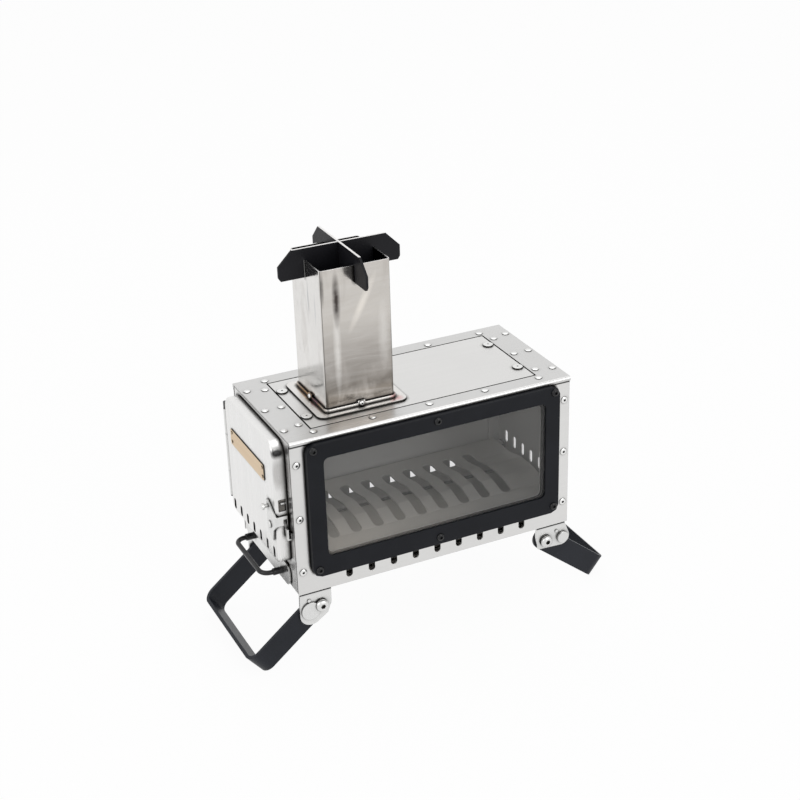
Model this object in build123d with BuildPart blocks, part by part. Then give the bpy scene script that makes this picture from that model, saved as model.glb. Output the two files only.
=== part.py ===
from build123d import *
from math import cos, radians, sin, tan
import os

os.makedirs("parts", exist_ok=True)

# Folding camping wood stove in stainless sheet, standing on two splayed U legs.
# Millimetres. +X is the stove's right, +Y its back, +Z up. The origin is on the ground,
# below the middle of the stove's outline.

# Body
body_length = 260.0
body_depth = 127.0
body_height = 144.0
sheet = 1.2
top_sheet = 1.5
end_flange = 12.0
lip_height = 3.8
lip_bend = 2.4
end_bend = 2.0
half_length = body_length / 2
half_depth = body_depth / 2
inner_depth = half_depth - sheet
lip_depth = half_depth + top_sheet

# Window in the front
window_length = 235.0
window_height = 123.5
window_depth = 6.0
window_middle = 77.9
window_corner = 4.5
window_top_corner = 3.0
view_length = 207.0
view_height = 92.0
view_middle = 80.0
view_corner = 5.0
glass_length = 216.0
glass_height = 103.0
glass_thick = 3.0
gasket_thick = 0.8
gasket_width = 5.0
aperture_length = 203.0
aperture_height = 89.5
aperture_middle = 79.0
window_screw_x = 112.0
window_screw_z = 55.6
window_screw_middle = 78.9
window_screw_radius = 2.0
window_head_radius = 3.6
window_head_height = 2.0

# Legs: flat bar bent to a U, turning on bolts in four brackets under the body
leg_angle = 39.0
leg_reach = 77.0
leg_width = 21.0
leg_bar = 3.0
leg_bend = 9.0
leg_outer_y = 58.4
pivot_x = 109.5
pivot_drop = 15.8
pivot_radius = 3.0
bolt_head_radius = 5.6
bolt_head_height = 3.0
bolt_washer = 1.7
bracket_gap = 0.3
bracket_thick = 2.5
bracket_outer_y = leg_outer_y + bracket_gap + bracket_thick

# Where the body's middle plane and its bottom face are
base_z = pivot_drop + leg_reach * sin(radians(leg_angle)) + leg_width / 2 * cos(radians(leg_angle))
front_reach = half_depth + window_depth + window_head_height
rear_reach = bracket_outer_y + bolt_washer + bolt_head_height
mid_y = (front_reach - rear_reach) / 2

# Top, cooktop and chimney
cooktop_length = 208.0
cooktop_depth = 95.0
cooktop_thick = 1.3
cooktop_gap = 1.4
body_gap = 0.3
ledge_overlap = 6.0
ledge_thick = 1.5
stud_x = 99.2
stud_y = 27.0
stud_radius = 4.7
stud_height = 1.3
stud_dimple = 0.8
flue_x = -52.0
flue_size = 62.0
flue_wall = 1.0
flue_corner = 2.5
flue_top = 269.3
flue_hole = 59.0
flange_length = 81.0
flange_depth = 78.0
flange_corner = 7.0
flange_thick = 1.5
collar_height = 3.0
collar_wall = 1.4
collar_tab_width = 6.5
collar_tab_height = 5.0

# Cross of two black plates that caps the chimney
cross_length = 108.0
cross_bottom = 254.6
cross_top = 279.5
cross_thick = 2.0
cross_bevel = 12.5
cross_slot = 2.2
cross_lap = cross_thick + 0.3

# Fuel door on the left end
door_front = -52.0
door_rear = 59.2
door_bottom = 26.5
door_top = 138.8
door_depth = 10.5
door_corner = 8.0
door_rear_corner = 12.0
door_bend = 2.5
door_wall = 1.2
door_face_x = -(half_length + body_gap + door_depth)
air_slot_width = 4.6
air_slot_height = 10.0
air_slot_pitch = 15.4
air_slot_count = 7
door_slot_middle = 5.0
door_slot_z = 34.6
end_slot_z = 36.6
end_slot_height = 12.0
hinge_x = -(half_length + 8.0)
hinge_y = 63.0
hinge_radius = 2.7
hinge_pin_radius = 1.2
hinge_bottom = 38.0
hinge_top = 122.5
hinge_leaf_top = 128.0
hinge_split = 24.0
hinge_head_radius = 2.4
hinge_head_height = 6.2
hinge_play = 0.05
leaf_thick = 1.2
leaf_reach = 16.0
leaf_plate = 13.0
leaf_inset = 0.5
door_leaf_thick = 1.4
door_leaf_width = 7.0

# Latch on the door
latch_y = -40.6
latch_z = 61.5
latch_sheet = 1.4
latch_tab_bottom = 64.5
latch_tab_top = 73.0
latch_pin_radius = 2.0
knob_y = -38.2
knob_z = 78.0
knob_shank = 1.6
locating_pin_y = door_front + 3.4
locating_pin_z = 82.5
locating_pin_radius = 1.4

# Ash drawer and grate
tray_half_depth = 45.2
tray_bottom = 2.9
tray_top = 19.4
tray_rear_x = 117.0
tray_sheet = 1.0
drawer_slot_top = 20.0
drawer_front_half = 49.0
drawer_front_top = 20.8
drawer_front_corner = 8.0
handle_z = 9.5
handle_half = 32.3
handle_reach = 18.0
handle_radius = 2.1
handle_bend = 8.0
grate_sheet = 1.5
grate_z = 30.0
grate_hump_z = 35.0
grate_rise_start = -38.0
grate_rise_end = -18.0
grate_fall_start = 6.0
grate_fall_end = 28.0
grate_half_length = 122.0
grate_half_depth = 59.4
grate_lip = 7.0
grate_slot_width = 9.5
grate_slot_front = -38.0
grate_slot_rear = 43.0

# Slots low in the front and rear panels
low_slot_width = 6.0
low_slot_bottom = 5.2
low_slot_height = 14.0
low_slot_pitch = 20.8
low_slot_count = 9
rear_slot_shift = -3.5

# Blind rivets
rivet_radius = 1.6
rivet_head_radius = 3.0
rivet_head_height = 1.1
rivet_tail_radius = 2.3
rivet_pocket_radius = 1.1
rivet_pocket_depth = 0.9
rivet_tail_length = 1.6
hole_play = 0.1

# Rivet places on the top, and on the front and rear panels
outer_rivet_x = 125.3
outer_rivet_y = 42.0
inner_rivet_x = 110.7
inner_rivet_y = 37.5
row_rivet_x = 52.3
row_rivet_y = 54.0
panel_rivet_x = 124.8
panel_rivet_z = [21.5, 71.8, 122.1]
bracket_rivet_x = 124.0
bracket_rivet_y = [48.5, 55.4]


def level(height):
    """Horizontal plane at a height over the body's bottom face."""
    return Plane(origin=(0, mid_y, base_z + height))


def facing_front(depth):
    """Upright plane that looks to the front, at a distance behind the body's middle."""
    return Plane(origin=(0, mid_y + depth, base_z), x_dir=(1, 0, 0), z_dir=(0, -1, 0))


def across(distance):
    """Upright plane square to the stove's length: its x is depth, its y is height."""
    return Plane(origin=(distance, mid_y, base_z), x_dir=(0, 1, 0), z_dir=(1, 0, 0))


def finish(builder, name):
    """Labels a finished piece and writes it."""
    builder.part.label = name
    export_step(builder.part, "parts/" + name + ".step")


def blind_rivet(grip, pocket=0.0):
    """A domed blind rivet along -Z: its head sits on Z = 0 and it grips the given thickness.
    A pocket is the depth of the hole that the broken-off mandrel leaves in the head."""
    with BuildPart() as rivet:
        with BuildSketch(Plane.XZ):
            with BuildLine():
                ThreePointArc(
                    (0, rivet_head_height),
                    (rivet_head_radius * 0.64, rivet_head_height * 0.84),
                    (rivet_head_radius, rivet_head_height * 0.4),
                )
                Polyline(
                    (rivet_head_radius, rivet_head_height * 0.4),
                    (rivet_head_radius, 0),
                    (rivet_radius, 0),
                    (rivet_radius, -grip),
                    (rivet_tail_radius, -grip),
                    (rivet_tail_radius, -grip - rivet_tail_length),
                    (0, -grip - rivet_tail_length),
                    (0, rivet_head_height),
                )
            make_face()
        revolve(axis=Axis.Z)
        if pocket:
            with BuildSketch(Plane.XY.offset(rivet_head_height - pocket)):
                Circle(rivet_pocket_radius)
            extrude(amount=2 * pocket, mode=Mode.SUBTRACT)
    return rivet.part


def button_screw(head_radius, head_height, shank_radius, length, socket):
    """A button-head screw along -Z with a hexagon socket. Its head sits on Z = 0."""
    with BuildPart() as screw:
        with BuildSketch(Plane.XZ):
            with BuildLine():
                Line((0, head_height), (head_radius * 0.45, head_height))
                ThreePointArc(
                    (head_radius * 0.45, head_height),
                    (head_radius * 0.86, head_height * 0.66),
                    (head_radius, 0),
                )
                Polyline(
                    (head_radius, 0),
                    (shank_radius, 0),
                    (shank_radius, -length),
                    (0, -length),
                    (0, head_height),
                )
            make_face()
        revolve(axis=Axis.Z)
        with BuildSketch(Plane.XY.offset(head_height)):
            RegularPolygon(radius=socket / 2, side_count=6, major_radius=False)
        extrude(amount=-head_height * 0.7, mode=Mode.SUBTRACT)
    return screw.part


def hex_nut(across_flats, height, bore_radius):
    """A plain hexagon nut that stands on Z = 0."""
    with BuildPart() as nut:
        with BuildSketch():
            RegularPolygon(radius=across_flats / 2, side_count=6, major_radius=False)
            Circle(bore_radius, mode=Mode.SUBTRACT)
        extrude(amount=height)
    return nut.part


# Places that more than one piece shares
outer_rivets = [(side * outer_rivet_x, y) for side in (-1, 1) for y in (-outer_rivet_y, 0, outer_rivet_y)]
inner_rivets = [(side * inner_rivet_x, y) for side in (-1, 1) for y in (-inner_rivet_y, 0, inner_rivet_y)]
row_rivets = [(step * row_rivet_x, side * row_rivet_y) for step in (-1, 0, 1) for side in (-1, 1)]
corner_rivets = [(side * 2 * row_rivet_x, end * row_rivet_y) for side in (-1, 1) for end in (-1, 1)]
top_rivet_places = outer_rivets + inner_rivets + row_rivets + corner_rivets
panel_rivets = [(side * panel_rivet_x, z) for side in (-1, 1) for z in panel_rivet_z]
hinge_rivets_at = [(-panel_rivet_x, z) for z in panel_rivet_z if z > hinge_bottom]
bracket_rivets = [
    (side * bracket_rivet_x, end * y) for side in (-1, 1) for end in (-1, 1) for y in bracket_rivet_y
]
window_screws_at = [
    (step * window_screw_x, window_screw_middle + side * window_screw_z)
    for step in (-1, 0, 1)
    for side in (-1, 1)
]
low_slots = [
    ((step - (low_slot_count - 1) / 2) * low_slot_pitch, low_slot_bottom + low_slot_height / 2)
    for step in range(low_slot_count)
]
studs_at = [(side * stud_x, end * stud_y) for side in (-1, 1) for end in (-1, 1)]


def end_pan(side):
    """Flanged end sheet of the body, open towards the middle, without its openings."""
    with BuildPart() as pan:
        with BuildSketch(level(0)):
            with Locations((side * (half_length - end_flange / 2), 0)):
                Rectangle(end_flange, 2 * inner_depth)
        extrude(amount=body_height - top_sheet)
        fillet(pan.faces().sort_by(Axis.X)[-1 if side > 0 else 0].edges(), end_bend)
        inner_face = pan.faces().sort_by(Axis.X)[0 if side > 0 else -1]
        offset(amount=-sheet, openings=inner_face)
        with BuildSketch(level(0)):
            with Locations(*[p for p in bracket_rivets if p[0] * side > 0]):
                Circle(rivet_radius + hole_play)
        extrude(amount=sheet, mode=Mode.SUBTRACT)
        with BuildSketch(level(body_height - top_sheet)):
            with Locations(*[p for p in outer_rivets if p[0] * side > 0]):
                Circle(rivet_radius + hole_play)
        extrude(amount=-sheet, mode=Mode.SUBTRACT)
        with BuildSketch(facing_front(-half_depth)):
            with Locations(*[p for p in panel_rivets if p[0] * side > 0]):
                Circle(rivet_radius + hole_play)
        extrude(amount=-body_depth, mode=Mode.SUBTRACT)
    return pan.part


# Left end of the body, with the fuel opening behind the door and the drawer's slot
fuel_front = -44.0
fuel_rear = 50.0
fuel_bottom = 42.0
fuel_top = 128.0
with BuildPart() as left_end_frame:
    add(end_pan(-1))
    with BuildSketch(across(-half_length)):
        with Locations(((fuel_front + fuel_rear) / 2, (fuel_bottom + fuel_top) / 2)):
            RectangleRounded(fuel_rear - fuel_front, fuel_top - fuel_bottom, 6)
        with Locations((0, (2 * sheet + drawer_slot_top) / 2)):
            Rectangle(2 * (tray_half_depth + 1.3), drawer_slot_top - 2 * sheet)
        with Locations((locating_pin_y, locating_pin_z)):
            Circle(locating_pin_radius + 0.01)
    extrude(amount=sheet, mode=Mode.SUBTRACT)
finish(left_end_frame, "left_end_frame")

# Right end of the body, with its row of air slots
with BuildPart() as right_end_panel:
    add(end_pan(1))
    with BuildSketch(across(half_length)):
        with Locations((0, end_slot_z)):
            with GridLocations(air_slot_pitch, 0, air_slot_count, 1):
                SlotOverall(end_slot_height, air_slot_width, rotation=90)
    extrude(amount=-sheet, mode=Mode.SUBTRACT)
finish(right_end_panel, "right_end_panel")

# Front panel, with the window aperture, the low air slots and the holes for screws and rivets
panel_height = body_height - top_sheet
with BuildPart() as front_panel:
    with BuildSketch(facing_front(-inner_depth)):
        with Locations((0, panel_height / 2)):
            Rectangle(body_length, panel_height)
        with Locations((0, aperture_middle)):
            RectangleRounded(aperture_length, aperture_height, view_corner, mode=Mode.SUBTRACT)
        with Locations(*low_slots):
            SlotOverall(low_slot_height, low_slot_width, rotation=90, mode=Mode.SUBTRACT)
        with Locations(*window_screws_at):
            Circle(window_screw_radius + hole_play, mode=Mode.SUBTRACT)
        with Locations(*panel_rivets):
            Circle(rivet_radius + hole_play, mode=Mode.SUBTRACT)
    extrude(amount=sheet)
finish(front_panel, "front_panel")

# Rear panel, with low air slots a little to the left of the front ones
with BuildPart() as rear_panel:
    with BuildSketch(facing_front(half_depth)):
        with Locations((0, panel_height / 2)):
            Rectangle(body_length, panel_height)
        with Locations(*[(x + rear_slot_shift, z) for x, z in low_slots]):
            SlotOverall(low_slot_height, low_slot_width, rotation=90, mode=Mode.SUBTRACT)
        with Locations(*panel_rivets):
            Circle(rivet_radius + hole_play, mode=Mode.SUBTRACT)
    extrude(amount=sheet)
finish(rear_panel, "rear_panel")

# Bottom panel, lying on the flanges of both ends
with BuildPart() as bottom_panel:
    with BuildSketch(level(sheet)):
        Rectangle(body_length - 2 * end_bend - 0.4, 2 * (inner_depth - end_bend))
        with Locations(*bracket_rivets):
            Circle(rivet_radius + hole_play, mode=Mode.SUBTRACT)
    extrude(amount=sheet)
finish(bottom_panel, "bottom_panel")

# Top frame: a sheet folded down over the front and the rear, open in the middle for the cooktop
with BuildPart() as top_frame:
    with BuildSketch(level(body_height - lip_height)):
        Rectangle(body_length, 2 * lip_depth)
    extrude(amount=lip_height)
    fillet(top_frame.edges().filter_by(Axis.X).group_by(Axis.Z)[-1], lip_bend)
    with BuildSketch(level(body_height - lip_height)):
        Rectangle(body_length, 2 * half_depth)
    extrude(amount=lip_height - top_sheet, mode=Mode.SUBTRACT)
    with BuildSketch(level(body_height - top_sheet)):
        Rectangle(cooktop_length + 2 * cooktop_gap, cooktop_depth + 2 * cooktop_gap)
        with Locations(*top_rivet_places):
            Circle(rivet_radius + hole_play)
    extrude(amount=top_sheet, mode=Mode.SUBTRACT)
finish(top_frame, "top_frame")

# Four ledges riveted under the top frame, which carry the cooktop
ledge_depth = 2 * (inner_depth - sheet - 0.4)
side_ledge_inner = cooktop_length / 2 - ledge_overlap
side_ledge_outer = half_length - end_flange - 0.4
long_ledge_inner = cooktop_depth / 2 - ledge_overlap
for side, name in ((-1, "ledge_left"), (1, "ledge_right")):
    with BuildPart() as side_ledge:
        with BuildSketch(level(body_height - top_sheet)):
            with Locations((side * (side_ledge_inner + side_ledge_outer) / 2, 0)):
                Rectangle(side_ledge_outer - side_ledge_inner, ledge_depth)
            with Locations(*[p for p in inner_rivets + corner_rivets if p[0] * side > 0]):
                Circle(rivet_radius + hole_play, mode=Mode.SUBTRACT)
        extrude(amount=-ledge_thick)
    finish(side_ledge, name)
for side, name in ((-1, "ledge_front"), (1, "ledge_rear")):
    with BuildPart() as long_ledge:
        with BuildSketch(level(body_height - top_sheet)):
            with Locations((0, side * (long_ledge_inner + ledge_depth / 2) / 2)):
                Rectangle(2 * (side_ledge_inner - 0.4), ledge_depth / 2 - long_ledge_inner)
            with Locations(*[p for p in row_rivets if p[1] * side > 0]):
                Circle(rivet_radius + hole_play, mode=Mode.SUBTRACT)
        extrude(amount=-ledge_thick)
    finish(long_ledge, name)

# Rivets of the top frame. The outer ones grip the ends' flanges, the others grip the ledges.
outer_rivet = blind_rivet(top_sheet + sheet)
ledge_rivet = blind_rivet(top_sheet + ledge_thick)
with BuildPart(level(body_height)) as top_rivets:
    with Locations(*outer_rivets):
        add(outer_rivet)
    with Locations(*(inner_rivets + row_rivets + corner_rivets)):
        add(ledge_rivet)
finish(top_rivets, "top_rivets")

# Rivets that hold the front and rear panels to the ends' flanges
panel_rivet = blind_rivet(2 * sheet, rivet_pocket_depth)
rear_face = Plane(origin=(0, mid_y + half_depth, base_z), x_dir=(-1, 0, 0), z_dir=(0, 1, 0))
with BuildPart() as panel_rivet_set:
    for x, z in panel_rivets:
        with Locations(facing_front(-half_depth).location * Location((x, z, 0))):
            add(panel_rivet)
        if (x, z) not in hinge_rivets_at:
            with Locations(rear_face.location * Location((-x, z, 0))):
                add(panel_rivet)
finish(panel_rivet_set, "panel_rivets")

# Window: gasket, glass, black frame, screws and nuts
front_face = -half_depth
pocket_depth = glass_thick + gasket_thick
with BuildPart() as glass_gasket:
    with BuildSketch(facing_front(front_face)):
        with Locations((0, view_middle)):
            Rectangle(glass_length, glass_height)
            RectangleRounded(
                glass_length - 2 * gasket_width,
                glass_height - 2 * gasket_width,
                view_corner,
                mode=Mode.SUBTRACT,
            )
    extrude(amount=gasket_thick)
finish(glass_gasket, "glass_gasket")

with BuildPart() as window_glass:
    with BuildSketch(facing_front(front_face - gasket_thick)):
        with Locations((0, view_middle)):
            Rectangle(glass_length, glass_height)
    extrude(amount=glass_thick)
    chamfer(window_glass.edges().filter_by(GeomType.LINE), 0.4)
finish(window_glass, "window_glass")

with BuildPart() as window_frame:
    with BuildSketch(facing_front(front_face)) as window_outline:
        with Locations((0, window_middle)):
            Rectangle(window_length, window_height)
        chamfer(window_outline.vertices().group_by(Axis.Z)[0], window_corner)
        chamfer(window_outline.vertices().group_by(Axis.Z)[-1], window_top_corner)
        with Locations((0, view_middle)):
            RectangleRounded(view_length, view_height, view_corner, mode=Mode.SUBTRACT)
        with Locations(*window_screws_at):
            Circle(window_screw_radius + hole_play, mode=Mode.SUBTRACT)
    extrude(amount=window_depth)
    with BuildSketch(facing_front(front_face)):
        with Locations((0, view_middle)):
            Rectangle(glass_length + 0.6, glass_height + 0.6)
    extrude(amount=pocket_depth, mode=Mode.SUBTRACT)
    chamfer(window_frame.faces().sort_by(Axis.Y)[0].outer_wire().edges(), 0.5)
finish(window_frame, "window_frame")

window_nut_height = 2.4
window_screw = button_screw(
    window_head_radius, window_head_height, window_screw_radius, window_depth + sheet + window_nut_height, 2.5
)
with BuildPart(facing_front(front_face - window_depth)) as window_screws:
    with Locations(*window_screws_at):
        add(window_screw)
finish(window_screws, "window_screws")

window_nut = hex_nut(6.0, window_nut_height, window_screw_radius + 0.02)
with BuildPart(facing_front(-inner_depth + window_nut_height)) as window_nuts:
    with Locations(*window_screws_at):
        add(window_nut)
finish(window_nuts, "window_nuts")

# Grate: sheet bent to a low hump, with slots from front to back


def grate_profile(drop):
    """Points of the grate's top side, from front to rear, lowered by a drop."""
    return [
        (-grate_half_depth, grate_z - drop),
        (grate_rise_start, grate_z - drop),
        (grate_rise_end, grate_hump_z - drop),
        (grate_fall_start, grate_hump_z - drop),
        (grate_fall_end, grate_z - drop),
        (grate_half_depth, grate_z - drop),
    ]


with BuildPart() as grate:
    with BuildSketch(across(-grate_half_length)):
        with BuildLine():
            Polyline(*(grate_profile(0) + grate_profile(grate_sheet)[::-1]), close=True)
        make_face()
        with BuildLine():
            Polyline(
                (-grate_half_depth, grate_z),
                (-grate_half_depth + grate_sheet, grate_z),
                (-grate_half_depth + grate_sheet, grate_z - grate_lip),
                (-grate_half_depth, grate_z - grate_lip),
                close=True,
            )
        make_face()
    extrude(amount=2 * grate_half_length)
    with BuildSketch(level(grate_z - 2 * grate_sheet)):
        with Locations((0, (grate_slot_front + grate_slot_rear) / 2)):
            with GridLocations(low_slot_pitch, 0, low_slot_count, 1):
                SlotOverall(grate_slot_rear - grate_slot_front, grate_slot_width, rotation=90)
    extrude(amount=grate_hump_z - grate_z + 4 * grate_sheet, mode=Mode.SUBTRACT)
finish(grate, "grate")

# Bent lugs on both ends, which carry the grate at its corners
lug_width = 8.0
lug_reach = 12.0
lug_drop = 9.0
lug_y = 53.0
for side, name in ((-1, "grate_lugs_left"), (1, "grate_lugs_right")):
    wall_x = side * (half_length - sheet)
    lug_top = grate_z - grate_sheet
    with BuildPart() as grate_lugs:
        for y in (-lug_y, lug_y):
            with BuildSketch(facing_front(y + lug_width / 2)):
                with BuildLine():
                    Polyline(
                        (wall_x, lug_top),
                        (wall_x - side * lug_reach, lug_top),
                        (wall_x - side * lug_reach, lug_top - grate_sheet),
                        (wall_x - side * grate_sheet, lug_top - grate_sheet),
                        (wall_x - side * grate_sheet, lug_top - lug_drop),
                        (wall_x, lug_top - lug_drop),
                        close=True,
                    )
                make_face()
            extrude(amount=lug_width)
    finish(grate_lugs, name)

# Guides for the drawer on the bottom panel
guide_height = 6.0
for side, name in ((-1, "drawer_guide_front"), (1, "drawer_guide_rear")):
    with BuildPart() as drawer_guide:
        with BuildSketch(level(2 * sheet)):
            with Locations((0, side * (tray_half_depth + 1.0 + sheet / 2))):
                Rectangle(220, sheet)
        extrude(amount=guide_height)
        with BuildSketch(level(2 * sheet)):
            with Locations((0, side * (tray_half_depth + 1.0 + 6.0 / 2))):
                Rectangle(220, 6.0)
        extrude(amount=sheet)
    finish(drawer_guide, name)

# Ash drawer: tray, front plate and bent-rod handle with sleeves and nuts
tray_front_x = -(half_length + body_gap + 0.1)
drawer_plate = 1.5
drawer_face_x = tray_front_x - drawer_plate
handle_hole_radius = handle_radius + 0.05
handle_places = [(-handle_half, handle_z), (handle_half, handle_z)]
with BuildPart() as ash_tray:
    with BuildSketch(level(tray_bottom)):
        with Locations(((tray_front_x + tray_rear_x) / 2, 0)):
            Rectangle(tray_rear_x - tray_front_x, 2 * tray_half_depth)
    extrude(amount=tray_top - tray_bottom)
    offset(amount=-tray_sheet, openings=ash_tray.faces().sort_by(Axis.Z)[-1])
    with BuildSketch(across(tray_front_x)):
        with Locations(*handle_places):
            Circle(handle_hole_radius)
    extrude(amount=2 * tray_sheet, mode=Mode.SUBTRACT)
finish(ash_tray, "ash_tray")

with BuildPart() as drawer_front:
    with BuildSketch(across(drawer_face_x)) as drawer_outline:
        with Locations((0, (0.6 + drawer_front_top) / 2)):
            Rectangle(2 * drawer_front_half, drawer_front_top - 0.6)
        fillet(drawer_outline.vertices().group_by(Axis.Z)[-1], drawer_front_corner)
        with Locations(*handle_places):
            Circle(handle_hole_radius, mode=Mode.SUBTRACT)
    extrude(amount=drawer_plate)
finish(drawer_front, "drawer_front")

handle_inner_x = tray_front_x + tray_sheet + 3.4
with BuildPart() as drawer_handle:
    with BuildLine(level(handle_z)):
        FilletPolyline(
            (handle_inner_x, -handle_half),
            (drawer_face_x - handle_reach, -handle_half),
            (drawer_face_x - handle_reach, handle_half),
            (handle_inner_x, handle_half),
            radius=handle_bend,
        )
    with BuildSketch(
        Plane(origin=(handle_inner_x, mid_y - handle_half, base_z + handle_z), z_dir=(-1, 0, 0))
    ):
        Circle(handle_radius)
    sweep()
finish(drawer_handle, "drawer_handle")

sleeve_length = 8.5
with BuildPart() as handle_sleeves:
    with BuildSketch(across(drawer_face_x)):
        with Locations(*handle_places):
            Circle(handle_radius + 1.0)
            Circle(handle_hole_radius, mode=Mode.SUBTRACT)
    extrude(amount=-sleeve_length)
    sleeve_ends = handle_sleeves.edges().group_by(Axis.X)[0]
    fillet(sleeve_ends.filter_by(lambda edge: edge.radius > handle_radius + 0.5), 0.5)
finish(handle_sleeves, "handle_sleeves")

handle_nut = hex_nut(7.0, 3.0, handle_radius + 0.02)
with BuildPart(across(tray_front_x + tray_sheet)) as handle_nuts:
    with Locations(*handle_places):
        add(handle_nut)
finish(handle_nuts, "handle_nuts")

# Cooktop plate, flush with the top frame, with four stud heads and the chimney's socket on it
cooktop_bottom = body_height - top_sheet + 0.2
cooktop_face = cooktop_bottom + cooktop_thick
with BuildPart() as cooktop_plate:
    with BuildSketch(level(cooktop_bottom)):
        RectangleRounded(cooktop_length, cooktop_depth, 0.6)
        with Locations((flue_x, 0)):
            RectangleRounded(flue_hole, flue_hole, flue_corner, mode=Mode.SUBTRACT)
        with Locations(*studs_at):
            Circle(2.1, mode=Mode.SUBTRACT)
    extrude(amount=cooktop_thick)
finish(cooktop_plate, "cooktop_plate")

with BuildPart() as stud:
    with BuildSketch(Plane.XY):
        Circle(stud_radius)
    extrude(amount=stud_height)
    fillet(stud.edges().group_by(Axis.Z)[-1], 0.7)
    with BuildSketch(Plane.XY.offset(stud_height)):
        Circle(stud_dimple)
    extrude(amount=-stud_dimple / 2, mode=Mode.SUBTRACT)
    with BuildSketch(Plane.XY):
        Circle(2.0)
    extrude(amount=-cooktop_thick)
with BuildPart(level(cooktop_face)) as cooktop_studs:
    with Locations(*studs_at):
        add(stud.part)
finish(cooktop_studs, "cooktop_studs")

collar_inner = flue_size + 2 * body_gap
collar_outer = collar_inner + 2 * collar_wall
flange_face = cooktop_face + flange_thick
screw_z = flange_face + collar_tab_height / 2


def collar_side(turn):
    """Upright plane on the middle of one outer side of the collar, facing outwards."""
    centre = Plane(origin=(flue_x, mid_y, base_z + screw_z)).rotated((0, 0, turn))
    return Plane(origin=centre.origin, x_dir=centre.x_dir, z_dir=-centre.y_dir).offset(collar_outer / 2)


with BuildPart() as chimney_flange:
    with BuildSketch(level(cooktop_face)):
        with Locations((flue_x, 0)):
            RectangleRounded(flange_length, flange_depth, flange_corner)
            RectangleRounded(flue_hole, flue_hole, flue_corner, mode=Mode.SUBTRACT)
    extrude(amount=flange_thick)
    with BuildSketch(level(flange_face)):
        with Locations((flue_x, 0)):
            RectangleRounded(collar_outer, collar_outer, flue_corner + body_gap + collar_wall)
            RectangleRounded(collar_inner, collar_inner, flue_corner + body_gap, mode=Mode.SUBTRACT)
    extrude(amount=collar_height)
    with BuildSketch(level(flange_face)):
        with Locations((flue_x, 0)):
            Rectangle(collar_outer, collar_tab_width)
            Rectangle(collar_tab_width, collar_outer)
            Rectangle(collar_inner, collar_inner, mode=Mode.SUBTRACT)
    extrude(amount=collar_tab_height)
    for turn in (0, 90, 180, 270):
        with BuildSketch(collar_side(turn)):
            Circle(1.3)
        extrude(amount=-collar_wall, mode=Mode.SUBTRACT)
finish(chimney_flange, "chimney_flange")

collar_screw = button_screw(2.3, 1.7, 1.2, collar_wall, 1.6)
with BuildPart() as collar_screws:
    for turn in (0, 90, 180, 270):
        with Locations(collar_side(turn).location):
            add(collar_screw)
finish(collar_screws, "collar_screws")

# Chimney: a square tube that stands in its socket
with BuildPart() as chimney_tube:
    with BuildSketch(level(flange_face + body_gap)):
        with Locations((flue_x, 0)):
            RectangleRounded(flue_size, flue_size, flue_corner)
            RectangleRounded(
                flue_size - 2 * flue_wall,
                flue_size - 2 * flue_wall,
                flue_corner - flue_wall,
                mode=Mode.SUBTRACT,
            )
    extrude(amount=flue_top - flange_face - body_gap)
finish(chimney_tube, "chimney_tube")

# Cross: two plates halved into each other, with slots that drop over the tube's walls
cross_height = cross_top - cross_bottom
wall_slot_height = flue_top - cross_bottom + 0.2
wall_line = flue_size / 2 - flue_wall / 2


def cross_plate(plane, lap_from_top):
    """One plate of the cross, drawn on an upright plane whose x is measured from the flue."""
    with BuildPart() as plate:
        with BuildSketch(plane):
            with BuildLine():
                Polyline(
                    (-cross_length / 2 + 2, cross_bottom),
                    (-cross_length / 2, cross_bottom + 3),
                    (-cross_length / 2, cross_top - cross_bevel),
                    (-cross_length / 2 + cross_bevel, cross_top),
                    (cross_length / 2 - cross_bevel, cross_top),
                    (cross_length / 2, cross_top - cross_bevel),
                    (cross_length / 2, cross_bottom + 3),
                    (cross_length / 2 - 2, cross_bottom),
                    close=True,
                )
            make_face()
            with Locations(*[(side * wall_line, cross_bottom + wall_slot_height / 2) for side in (-1, 1)]):
                Rectangle(cross_slot, wall_slot_height, mode=Mode.SUBTRACT)
            lap_middle = cross_top - cross_height / 4 if lap_from_top else cross_bottom + cross_height / 4
            with Locations((0, lap_middle)):
                Rectangle(cross_lap, cross_height / 2 + 0.1, mode=Mode.SUBTRACT)
        extrude(amount=cross_thick / 2, both=True)
    return plate.part


with BuildPart() as cross_plate_long:
    add(cross_plate(Plane(origin=(flue_x, mid_y, base_z), x_dir=(1, 0, 0), z_dir=(0, -1, 0)), True))
finish(cross_plate_long, "cross_plate_long")
with BuildPart() as cross_plate_deep:
    add(cross_plate(Plane(origin=(flue_x, mid_y, base_z), x_dir=(0, 1, 0), z_dir=(1, 0, 0)), False))
finish(cross_plate_deep, "cross_plate_deep")

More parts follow.
